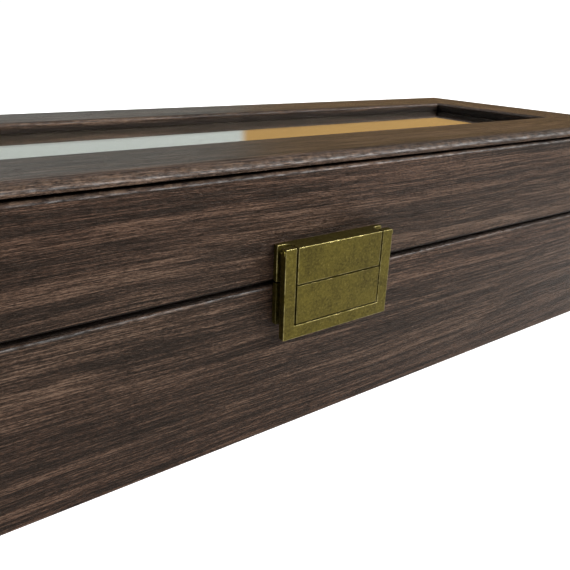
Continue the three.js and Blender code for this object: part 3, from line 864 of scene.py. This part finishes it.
def latch_outline(node, whole):
    """One half of the latch in plan: a plate on the case and, when whole, the block filleted into it."""
    low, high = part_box(node)
    plate = high.x
    block = plate - LATCH_EAR
    step = high.y - PLATE_THICKNESS
    if not whole:
        return [(-plate, step), (plate, step), (plate, high.y), (-plate, high.y)]
    arc = [math.pi / 2 * k / ARC_STEPS for k in range(ARC_STEPS + 1)]
    centre = (block + PLATE_FILLET, step - PLATE_FILLET)
    right = [(centre[0] - PLATE_FILLET * math.cos(a), centre[1] + PLATE_FILLET * math.sin(a)) for a in arc]
    left = [(-x, y) for x, y in reversed(right)]
    front = [(-block, low.y), (block, low.y)]
    return front + right + [(plate, step), (plate, high.y), (-plate, high.y), (-plate, step)] + left


def bail_pivot():
    low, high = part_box("latch_bail")
    return (low.y + high.y) / 2, high.z - BAIL_PIVOT_BELOW_TOP


def pin_bore():
    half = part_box("latch_bail")[1].x + MM
    return bar_along_x("bore", PIN_RADIUS + BORE_CLEARANCE, -half, half, *bail_pivot())


def block_bores():
    """Blind holes for the bail pins in both ends of the upper block."""
    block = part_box("latch_upper_block")[1].x - LATCH_EAR
    radius = PIN_RADIUS + BORE_CLEARANCE
    spans = [(-block - MM, -block + BORE_DEPTH), (block - BORE_DEPTH, block + MM)]
    return [bar_along_x("bore", radius, *span, *bail_pivot()) for span in spans]


def build_latch_blocks():
    low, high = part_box("latch_upper_block")
    upper = prism("latch_upper", latch_outline("latch_upper_block", True), low.z, high.z, upright)
    eased(upper, LATCH_BEVEL, LATCH_WEAR)
    boolean(upper, block_bores(), "DIFFERENCE")
    finished(smoothed(upper), "lid", "antique_brass", "latch_upper_block")
    low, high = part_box("latch_lower_block")
    whole = latch_outline("latch_lower_block", True)
    plate = latch_outline("latch_lower_block", False)
    step = low.z + PLATE_BELOW_BLOCK
    lower = prism("latch_lower", whole, step, high.z, upright)
    foot = prism("foot", plate, low.z, high.z - MM, upright)
    boolean(lower, [foot], "UNION")
    eased(lower, LATCH_BEVEL, LATCH_WEAR)
    finished(smoothed(lower), "base", "antique_brass", "latch_lower_block")


def build_bail():
    """A flat U on two pins, closed under the lower block."""
    low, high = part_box("latch_bail")
    inner = high.x - BAIL_ARM
    bar = low.z + BAIL_BAR
    outline = [
        (-high.x, low.z), (high.x, low.z), (high.x, high.z), (inner, high.z),
        (inner, bar), (-inner, bar), (-inner, high.z), (-high.x, high.z),
    ]
    bail = prism("latch_bail_frame", outline, low.y, high.y, backwards)
    eased(bail, LATCH_BEVEL, LATCH_WEAR)
    boolean(bail, [pin_bore()], "DIFFERENCE")
    finished(smoothed(bail), "bail", "antique_brass", "latch_bail")


def build_bail_pins():
    """Headed pins with a centre dimple, their heads just outside the arms."""
    under = PIN_HEAD_GAP
    top = under + PIN_HEAD
    soft = PIN_HEAD * 0.35
    profile = [
        (0, -PIN_REACH), (PIN_RADIUS, -PIN_REACH), (PIN_RADIUS, under), (PIN_HEAD_RADIUS, under),
        (PIN_HEAD_RADIUS, top - soft), (PIN_HEAD_RADIUS - soft * 0.3, top - soft * 0.3),
        (PIN_HEAD_RADIUS - soft, top), (PIN_DIMPLE, top), (PIN_DIMPLE * 0.8, top - soft), (0, top - 2 * soft),
    ]
    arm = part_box("latch_bail")[1].x
    for side, sign in (("left", -1), ("right", 1)):
        pin = lathed(f"bail_pin_{side}", profile)
        place = Matrix.Translation((sign * arm, *bail_pivot()))
        pin.data.transform(place @ Matrix.Rotation(sign * math.pi / 2, 4, "Y"))
        mark_edges(pin)
        finished(smoothed(pin), "lid", "antique_brass", f"bail_{side}_pin")


def mark_edges(obj, value=0.0):
    """An even edge mask, for pieces whose wear has no place of its own."""
    attribute = obj.data.attributes.get("edge") or obj.data.attributes.new("edge", "FLOAT", "POINT")
    attribute.data.foreach_set("value", [value] * len(obj.data.vertices))


# Hinges


def hinge_leaf(name, side, owner, up):
    """A leaf let into the wall's edge, with its knuckles on the pin."""
    node = f"hinge_{side}_{owner}_leaf"
    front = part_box(node)[0].y
    pin_low, pin_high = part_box(f"hinge_{side}_pin")
    axis_y = (pin_low.y + pin_high.y) / 2
    axis_z = (pin_low.z + pin_high.z) / 2
    middle = (pin_low.x + pin_high.x) / 2
    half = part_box(f"hinge_{side}_base_leaf")[1].x - middle
    third = half * 2 / 3
    gap = KNUCKLE_GAP / 2
    inner = axis_z + up * (LID_BOTTOM - SPLIT) / 2
    outer = inner + up * LEAF_THICKNESS
    edge = axis_y - BARREL - LEAF_SETBACK
    spans = [(-third / 2 + gap, third / 2 - gap)]
    if up < 0:
        spans = [(-half, -third / 2 - gap), (third / 2 + gap, half)]
    plate = prism(name, rectangle(front, edge, inner, outer), middle - half, middle + half, sideways)
    parts = []
    for start, end in spans:
        web = rectangle(edge - WEB_OVERLAP, axis_y, inner, outer)
        parts.append(prism("web", web, middle + start, middle + end, sideways))
        parts.append(bar_along_x("barrel", BARREL, middle + start, middle + end, axis_y, axis_z))
    boolean(plate, parts, "UNION")
    reach = half + MM
    bore = bar_along_x("bore", HINGE_PIN + BORE_CLEARANCE, middle - reach, middle + reach, axis_y, axis_z)
    boolean(plate, [bore], "DIFFERENCE")
    eased(plate, HINGE_BEVEL, HINGE_BEVEL * 1.5, math.radians(50))
    return finished(smoothed(plate), owner, "hinge_brass", node)


def hinge_pin(side):
    low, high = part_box(f"hinge_{side}_pin")
    half = (high.x - low.x) / 2
    start = half - HINGE_PIN_DOME
    angles = [math.pi / 2 * k / DOME_STEPS for k in range(DOME_STEPS + 1)]
    cap = [(HINGE_PIN * math.cos(a), start + HINGE_PIN_DOME * math.sin(a)) for a in angles]
    cap[-1] = (0, half)
    profile = [(r, -z) for r, z in reversed(cap)] + cap
    pin = lathed(f"hinge_pin_{side}", profile)
    place = Matrix.Translation(((low + high) / 2)) @ Matrix.Rotation(math.pi / 2, 4, "Y")
    pin.data.transform(place)
    mark_edges(pin, HINGE_PIN_WEAR)
    finished(smoothed(pin), "base", "hinge_brass", f"hinge_{side}_pin")


def screw_blank():
    """A countersunk screw along Z, its head's face at z 0, with a cross slot."""
    profile = [
        (0, -SCREW_LENGTH), (SCREW_SHANK * 0.3, -SCREW_LENGTH + 0.2 * MM),
        (SCREW_SHANK, -SCREW_LENGTH + 1.4 * MM), (SCREW_SHANK, -SCREW_CONE),
        (SCREW_HEAD - 0.05 * MM, -0.06 * MM), (SCREW_HEAD, -0.03 * MM),
        (SCREW_HEAD - 0.08 * MM, 0), (0, 0),
    ]
    screw = lathed("screw_blank", profile)
    half = SCREW_SLOT_LENGTH / 2
    side = SCREW_SLOT / 2
    wide = prism("slot", rectangle(-half, half, -side, side), -SCREW_SLOT_DEPTH, MM, upright)
    tall = prism("slot", rectangle(-side, side, -half, half), -SCREW_SLOT_DEPTH, MM, upright)
    boolean(screw, [wide, tall], "DIFFERENCE")
    mark_edges(screw, SCREW_WEAR)
    return smoothed(screw)


def coloured(t, geometry, material):
    return t.out("GeometryNodeSetMaterial", {"Geometry": geometry, "Material": material})


def screw_tree():
    """Screws in pairs, one pair a hinge, each turned by its own amount."""
    inputs = [("Screw", "Object"), ("Hinge spread", "Float"), ("Screw spread", "Float")]
    inputs += [("Row", "Vector"), ("Flip", "Vector"), ("Material", "Material")]
    t, given, result = node_group("Geometry", "hinge_screws", inputs, [("Geometry", "Geometry")])

    def pair(spread):
        start = t.joined(t.math("MULTIPLY", spread, -0.5), 0.0, 0.0)
        line = {"Count": 2, "Start Location": start, "Offset": t.joined(spread, 0.0, 0.0)}
        return t.out("GeometryNodeMeshLine", line)

    hinges = pair(given["Hinge spread"])
    pairs = t.out("GeometryNodeInstanceOnPoints", {
        "Points": hinges,
        "Instance": pair(given["Screw spread"]),
    })
    points = t.out("GeometryNodeRealizeInstances", {"Geometry": pairs})
    turn = t.node("FunctionNodeRandomValue", {"Seed": 4}, data_type="FLOAT")
    turn.inputs[2].default_value = 0.0
    turn.inputs[3].default_value = math.pi / 2
    screw = t.node("GeometryNodeObjectInfo", {"Object": given["Screw"]}).outputs["Geometry"]
    screws = t.out("GeometryNodeInstanceOnPoints", {
        "Points": points,
        "Instance": screw,
        "Rotation": t.joined(0.0, 0.0, turn.outputs[1]),
    })
    placed = t.out("GeometryNodeTransform", {
        "Geometry": screws,
        "Translation": given["Row"],
        "Rotation": given["Flip"],
    })
    real = t.out("GeometryNodeRealizeInstances", {"Geometry": placed})
    t.feed(result["Geometry"], coloured(t, real, given["Material"]))
    return t.tree


def from_tree(name, tree, values, mesh=None):
    """The plain mesh that a geometry tree makes with these input values."""
    obj = new_object(name, mesh or bpy.data.meshes.new(name))
    modifier = obj.modifiers.new("make", "NODES")
    modifier.node_group = tree
    for item in tree.interface.items_tree:
        if item.in_out == "INPUT" and item.name in values:
            modifier[item.identifier] = values[item.name]
    return applied(obj)


def build_screws():
    blank = screw_blank()
    tree = screw_tree()
    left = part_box("hinge_left_pin")
    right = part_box("hinge_right_pin")
    spread = (right[0].x + right[1].x - left[0].x - left[1].x) / 2
    for owner, up in (("base", -1), ("lid", 1)):
        face = LID_BOTTOM if up > 0 else SPLIT
        row = Vector((0, BACK - SCREW_INSET, face))
        screws = from_tree(f"hinge_screws_{owner}", tree, {
            "Screw": blank,
            "Hinge spread": spread,
            "Screw spread": SCREW_SPREAD,
            "Row": row,
            "Flip": (math.pi if up > 0 else 0.0, 0.0, 0.0),
            "Material": materials["hinge_brass"],
        })
        nodes = [f"hinge_{side}_{owner}_screw_{k}" for side in ("left", "right") for k in (1, 2)]
        finished(smoothed(screws), owner, "hinge_brass", *nodes)
    bpy.data.objects.remove(blank)


def build_hinges():
    for side in ("left", "right"):
        hinge_leaf(f"hinge_{side}_base", side, "base", -1)
        hinge_leaf(f"hinge_{side}_lid", side, "lid", 1)
        hinge_pin(side)
    build_screws()


# Pillows


def oval(half_depth, half_height, count):
    """Points of a squarish oval in the upright plane across the pillow."""
    power = 2 / PILLOW_SQUARENESS
    points = []
    for k in range(count):
        angle = 2 * math.pi * k / count
        y = math.copysign(abs(math.cos(angle)) ** power, math.cos(angle)) * half_depth
        z = math.copysign(abs(math.sin(angle)) ** power, math.sin(angle)) * half_height
        points.append((y, z))
    return points


def pillow_blank(name, size):
    """A roll about the origin along X, slightly slack, before it is filled."""
    half = size / 2 - Vector((PILLOW_SKIN, PILLOW_SKIN, PILLOW_SKIN))
    ring = oval(half.y, half.z, PILLOW_ROUND)
    last = PILLOW_STATIONS - 1
    stations = [-half.x + 2 * half.x * j / last for j in range(PILLOW_STATIONS)]
    blank = skinned(name, [[(x, y, z) for y, z in ring] for x in stations])
    remesh = blank.modifiers.new("remesh", "REMESH")
    remesh.mode = "VOXEL"
    remesh.voxel_size = PILLOW_VOXEL
    return applied(blank)


def swell(pillow, size, seed):
    """Fills the roll by cloth simulation, held at the seams round its two ends."""
    half = size / 2
    start = np.array([v.co for v in pillow.data.vertices])
    rng = np.random.default_rng(seed)
    pushes = rng.normal(0, PILLOW_UNEVEN, (len(start), 3))
    pillow.data.vertices.foreach_set("co", (start + pushes).ravel())
    seam = half.x - PILLOW_SKIN
    rim = np.abs(start[:, 0]) > seam - PILLOW_VOXEL * 0.8
    ring = np.abs(np.abs(start[:, 1]) / (half.y - PILLOW_SKIN)) ** PILLOW_SQUARENESS
    ring += np.abs(np.abs(start[:, 2]) / (half.z - PILLOW_SKIN)) ** PILLOW_SQUARENESS
    held = pillow.vertex_groups.new(name="seam")
    chosen = np.nonzero(rim & (ring > PILLOW_HELD))[0]
    held.add([int(k) for k in chosen], 1.0, "REPLACE")
    cloth = pillow.modifiers.new("fill", "CLOTH")
    cloth.point_cache.frame_start = 1
    cloth.point_cache.frame_end = PILLOW_FRAMES
    settings = cloth.settings
    settings.quality = 5
    settings.mass = 0.15
    settings.tension_stiffness = 12
    settings.compression_stiffness = 6
    settings.bending_stiffness = 0.6
    settings.use_pressure = True
    settings.uniform_pressure_force = 4
    settings.effector_weights.gravity = 0
    settings.vertex_group_mass = "seam"
    settings.shrink_min = -0.035
    cloth.collision_settings.use_collision = False
    scene = bpy.context.scene
    for number in range(1, PILLOW_FRAMES + 1):
        scene.frame_set(number)
    applied(pillow)
    scene.frame_set(1)
    moved = np.array([v.co for v in pillow.data.vertices])
    limit = np.array([half.x - 0.1 * MM, half.y - 0.2 * MM, half.z - 0.1 * MM])
    step = np.clip(moved - start, -PILLOW_REACH, PILLOW_REACH)
    pillow.data.vertices.foreach_set("co", np.clip(start + step, -limit, limit).ravel())
    pillow.vertex_groups.clear()
    return pillow


def subdivided(obj, levels):
    modifier = obj.modifiers.new("smooth", "SUBSURF")
    modifier.levels = levels
    modifier.render_levels = levels
    return applied(obj)


def surface_ring(surface, x, lift):
    """Points round a pillow at one place along it, found by rays from its axis."""
    points = []
    for k in range(TRIM_POINTS):
        angle = 2 * math.pi * k / TRIM_POINTS
        outwards = Vector((0, math.cos(angle), math.sin(angle)))
        hit = surface.ray_cast(Vector((x, 0, 0)), outwards)[0]
        points.append(hit + outwards * lift)
    return points


def trim_lines(pillow, size):
    """Closed lines on a pillow for its trim. The sewn attribute is 0 for piping and 1 for stitches."""
    bm = bmesh.new()
    bm.from_mesh(pillow.data)
    surface = BVHTree.FromBMesh(bm)
    bm.free()
    rim = size.x / 2 - PILLOW_SKIN - PIPING_INSET
    points = []
    edges = []
    sewn = []
    for side in (-1, 1):
        rings = (surface_ring(surface, side * rim, PIPING_LIFT),
                 surface_ring(surface, side * (rim - STITCH_INSET), STITCH_LIFT))
        for kind, ring in enumerate(rings):
            first = len(points)
            points += ring
            edges += [(first + k, first + (k + 1) % len(ring)) for k in range(len(ring))]
            sewn += [float(kind)] * len(ring)
    mesh = bpy.data.meshes.new("trim_lines")
    mesh.from_pydata(points, edges, [])
    mesh.attributes.new("sewn", "FLOAT", "POINT").data.foreach_set("value", sewn)
    return mesh


def piping_nodes(t, given, lines):
    """A round cord along every line."""
    circle = t.out("GeometryNodeCurvePrimitiveCircle", {
        "Resolution": PIPING_SIDES,
        "Radius": given["Piping radius"],
    }, mode="RADIUS")
    seam = t.out("GeometryNodeMeshToCurve", {"Mesh": lines})
    cord = t.out("GeometryNodeCurveToMesh", {"Curve": seam, "Profile Curve": circle})
    return coloured(t, cord, given["Piping material"])


def stitch_nodes(t, given, lines):
    """Slim beads spaced along every line and aimed along it."""
    thread = t.out("GeometryNodeMeshToCurve", {"Mesh": lines})
    even = t.out("GeometryNodeResampleCurve", {
        "Curve": thread,
        "Length": given["Stitch pitch"],
    }, mode="LENGTH")
    bead = {"Segments": STITCH_SEGMENTS, "Rings": STITCH_RINGS, "Radius": 1.0}
    ball = t.out("GeometryNodeMeshUVSphere", bead)
    half = t.math("MULTIPLY", given["Stitch length"], 0.5)
    shape = t.joined(given["Stitch radius"], given["Stitch radius"], half)
    stitch = t.out("GeometryNodeTransform", {"Geometry": ball, "Scale": shape})
    tangent = t.out("GeometryNodeInputTangent")
    aim = t.out("FunctionNodeAlignRotationToVector", {"Vector": tangent}, axis="Z")
    stitches = t.out("GeometryNodeInstanceOnPoints", {
        "Points": even,
        "Instance": stitch,
        "Rotation": aim,
    })
    return coloured(t, stitches, given["Stitch material"])


def trim_tree():
    """Piping along the plain lines and stitches along the sewn ones."""
    inputs = [("Lines", "Geometry"), ("Piping radius", "Float"), ("Stitch pitch", "Float")]
    inputs += [("Stitch length", "Float"), ("Stitch radius", "Float")]
    inputs += [("Piping material", "Material"), ("Stitch material", "Material")]
    t, given, result = node_group("Geometry", "pillow_trim", inputs, [("Geometry", "Geometry")])
    sewn = t.out("GeometryNodeInputNamedAttribute", {"Name": "sewn"}, data_type="FLOAT")
    chosen = t.math("GREATER_THAN", sewn, 0.5)
    parts = t.node("GeometryNodeSeparateGeometry", {"Geometry": given["Lines"], "Selection": chosen}).outputs
    both = t.node("GeometryNodeJoinGeometry")
    t.feed(both.inputs[0], piping_nodes(t, given, parts["Inverted"]))
    t.feed(both.inputs[0], stitch_nodes(t, given, parts["Selection"]))
    real = t.out("GeometryNodeRealizeInstances", {"Geometry": both.outputs[0]})
    t.feed(result["Geometry"], real)
    return t.tree


def pillow_trim(tree, pillow, size):
    trim = from_tree("pillow_trim", tree, {
        "Piping radius": PIPING,
        "Stitch pitch": STITCH_PITCH,
        "Stitch length": STITCH_LENGTH,
        "Stitch radius": STITCH_RADIUS,
        "Piping material": materials["pillow_suede"],
        "Stitch material": materials["thread"],
    }, trim_lines(pillow, size))
    trim.data.shade_smooth()
    return trim


def build_pillows():
    low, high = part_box("pillow_1")
    size = high - low
    tree = trim_tree()
    variants = []
    for seed in (11, 23):
        blank = pillow_blank("pillow_variant", size)
        swell(blank, size, seed)
        trim = pillow_trim(tree, blank, size)
        variants.append((subdivided(blank, 1), trim))
    for number in range(1, 7):
        node = f"pillow_{number}"
        low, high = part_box(node)
        turned = Matrix.Rotation(math.pi if number in (3, 4) else 0.0, 4, "Z")
        place = Matrix.Translation((low + high) / 2) @ turned
        roll, trim = (variant.data.copy() for variant in variants[number % 2])
        roll.transform(place)
        trim.transform(place)
        pillow = finished(new_object(f"{node}_roll", roll), node, "pillow_suede", node)
        pillow.data.shade_smooth()
        edging = new_object(f"{node}_trim", trim)
        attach(edging, node)
    for pair in variants:
        for variant in pair:
            bpy.data.objects.remove(variant)


# CAD nodes that keep their shape


def dress_nodes():
    kept = {
        "window_glass": "window_glass",
        "base_board": "bottom_board",
        "base_felt": "bottom_felt",
        "base_floor_lining": "velvet_lining",
    }
    for node, slot in kept.items():
        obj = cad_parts[node]
        obj.data.materials.clear()
        obj.data.materials.append(materials[slot])


# Studio

FLOOR_SIZE = 6.0
CAMERA_PLACE = (-0.0995, -0.1725, 0.1065)
CAMERA_YAW = math.radians(35.8)
CAMERA_PITCH = math.radians(22.5)
CAMERA_ROLL = math.radians(1.9)
CAMERA_LENS = 37.58
CARD_DISTANCE = 1.1
CARD_SPREAD = math.radians(75)
CARD_BLUR = math.radians(0.55)
CARD_GLOW = 1.2
CARD_SPLIT_ANGLE = math.radians(31.4)
CARD_LOW = 0.10
CARD_HIGH = 0.42

# Lights: name, place, aim, width, height, power, whether gloss shows it
LIGHTS = [
    ("key_strip", (0.66, -1.25, 0.80), (0, 0, 0.06), 2.2, 0.18, 46, True),
    ("top_softbox", (0.2, 0.1, 1.3), (0, 0, 0.05), 1.0, 0.8, 6, False),
    ("back_fill", (-0.3, 1.4, 1.1), (0, 0, 0.05), 0.9, 0.7, 5, True),
]


def build_camera():
    data = bpy.data.cameras.new("camera")
    data.lens = CAMERA_LENS
    data.sensor_width = 36
    data.clip_start = 0.005
    data.clip_end = 50
    camera = new_object("camera", data)
    heading = Matrix.Rotation(-CAMERA_YAW, 4, "Z")
    tilt = Matrix.Rotation(math.pi / 2 - CAMERA_PITCH, 4, "X")
    lean = Matrix.Rotation(CAMERA_ROLL, 4, "Z")
    camera.matrix_world = Matrix.Translation(CAMERA_PLACE) @ heading @ tilt @ lean
    bpy.context.scene.camera = camera


def floor_material():
    """A pale floor that stays white to the eye and gives a softer, greyer reflection."""
    material, t, shader, output = new_material("floor")
    shader.inputs["Base Color"].default_value = (0.9, 0.9, 0.9, 1)
    shader.inputs["Roughness"].default_value = 0.9
    shader.inputs["Emission Color"].default_value = (1, 1, 1, 1)
    shader.inputs["Emission Strength"].default_value = 0.75
    place = t.node("ShaderNodeTexCoord").outputs["Object"]
    away = t.node("ShaderNodeVectorMath", {0: place}, operation="LENGTH").outputs["Value"]
    dull_colour = t.mix(t.remap(away, 0.23, 0.45), (0.80, 0.795, 0.78, 1), (0.16, 0.155, 0.145, 1))
    dull = t.out("ShaderNodeBsdfDiffuse", {"Color": dull_colour})
    split_by_ray(t, output, "Is Camera Ray", dull, shader.outputs[0])
    return material


def build_floor():
    bm = bmesh.new()
    bmesh.ops.create_grid(bm, x_segments=2, y_segments=2, size=FLOOR_SIZE / 2)
    floor = object_from(bm, "floor")
    floor.data.materials.append(floor_material())


def build_backdrop():
    """A glowing card behind the box, seen only in gloss and glass: pale green, then tan past a soft line."""
    eye = Vector(CAMERA_PLACE)
    angles = (-CARD_SPREAD, -CARD_BLUR, CARD_BLUR, CARD_SPREAD)
    points = []
    for angle in [CARD_SPLIT_ANGLE + turn for turn in angles]:
        reach = CARD_DISTANCE / math.cos(CAMERA_YAW - angle)
        x = eye.x + reach * math.sin(angle)
        y = eye.y + reach * math.cos(angle)
        points += [(x, y, CARD_LOW), (x, y, CARD_HIGH)]
    mesh = bpy.data.meshes.new("backdrop")
    mesh.from_pydata(points, [], [(k, k + 2, k + 3, k + 1) for k in (0, 2, 4)])
    mesh.attributes.new("tan", "FLOAT", "POINT").data.foreach_set("value", [0, 0, 0, 0, 1, 1, 1, 1])
    backdrop = new_object("backdrop", mesh)
    material = bpy.data.materials.new("backdrop")
    t = emptied(material)
    tan = t.node("ShaderNodeAttribute", attribute_name="tan").outputs["Fac"]
    colour = t.mix(t.remap(tan, 0.0, 1.0, smooth=True), srgb(216, 223, 216), srgb(202, 162, 101))
    glow = t.out("ShaderNodeEmission", {"Color": colour, "Strength": CARD_GLOW})
    t.node("ShaderNodeOutputMaterial", {"Surface": glow})
    mesh.materials.append(material)
    backdrop.visible_camera = False
    backdrop.visible_diffuse = False
    backdrop.visible_shadow = False


def area_light(name, place, aim, width, height, power, glossy):
    data = bpy.data.lights.new(name, "AREA")
    data.shape = "RECTANGLE"
    data.size = width
    data.size_y = height
    data.energy = power
    light = new_object(name, data)
    light.location = place
    light.rotation_euler = (Vector(aim) - Vector(place)).to_track_quat("-Z", "Y").to_euler()
    light.visible_camera = False
    light.visible_glossy = glossy


def build_world():
    world = bpy.data.worlds.new("studio")
    bpy.context.scene.world = world
    t = emptied(world)
    height = t.split(t.node("ShaderNodeTexCoord").outputs["Generated"])[2]
    sky = t.ramp(t.remap(height, -0.2, 1.0), [(0.0, (0.07, 0.07, 0.07, 1)), (1.0, (0.46, 0.46, 0.46, 1))])
    room = t.out("ShaderNodeBackground", {"Color": sky, "Strength": 1.0})
    white = t.out("ShaderNodeBackground", {"Color": (1, 1, 1, 1), "Strength": 1.05})
    split_by_ray(t, t.node("ShaderNodeOutputWorld"), "Is Camera Ray", room, white)


def build_studio():
    build_camera()
    build_floor()
    build_backdrop()
    build_world()
    for light in LIGHTS:
        area_light(*light)
    bpy.context.scene.view_settings.view_transform = "Standard"


build_studio()
build_boards()
build_dividers()
build_latch_blocks()
build_bail()
build_bail_pins()
build_hinges()
build_pillows()
dress_nodes()
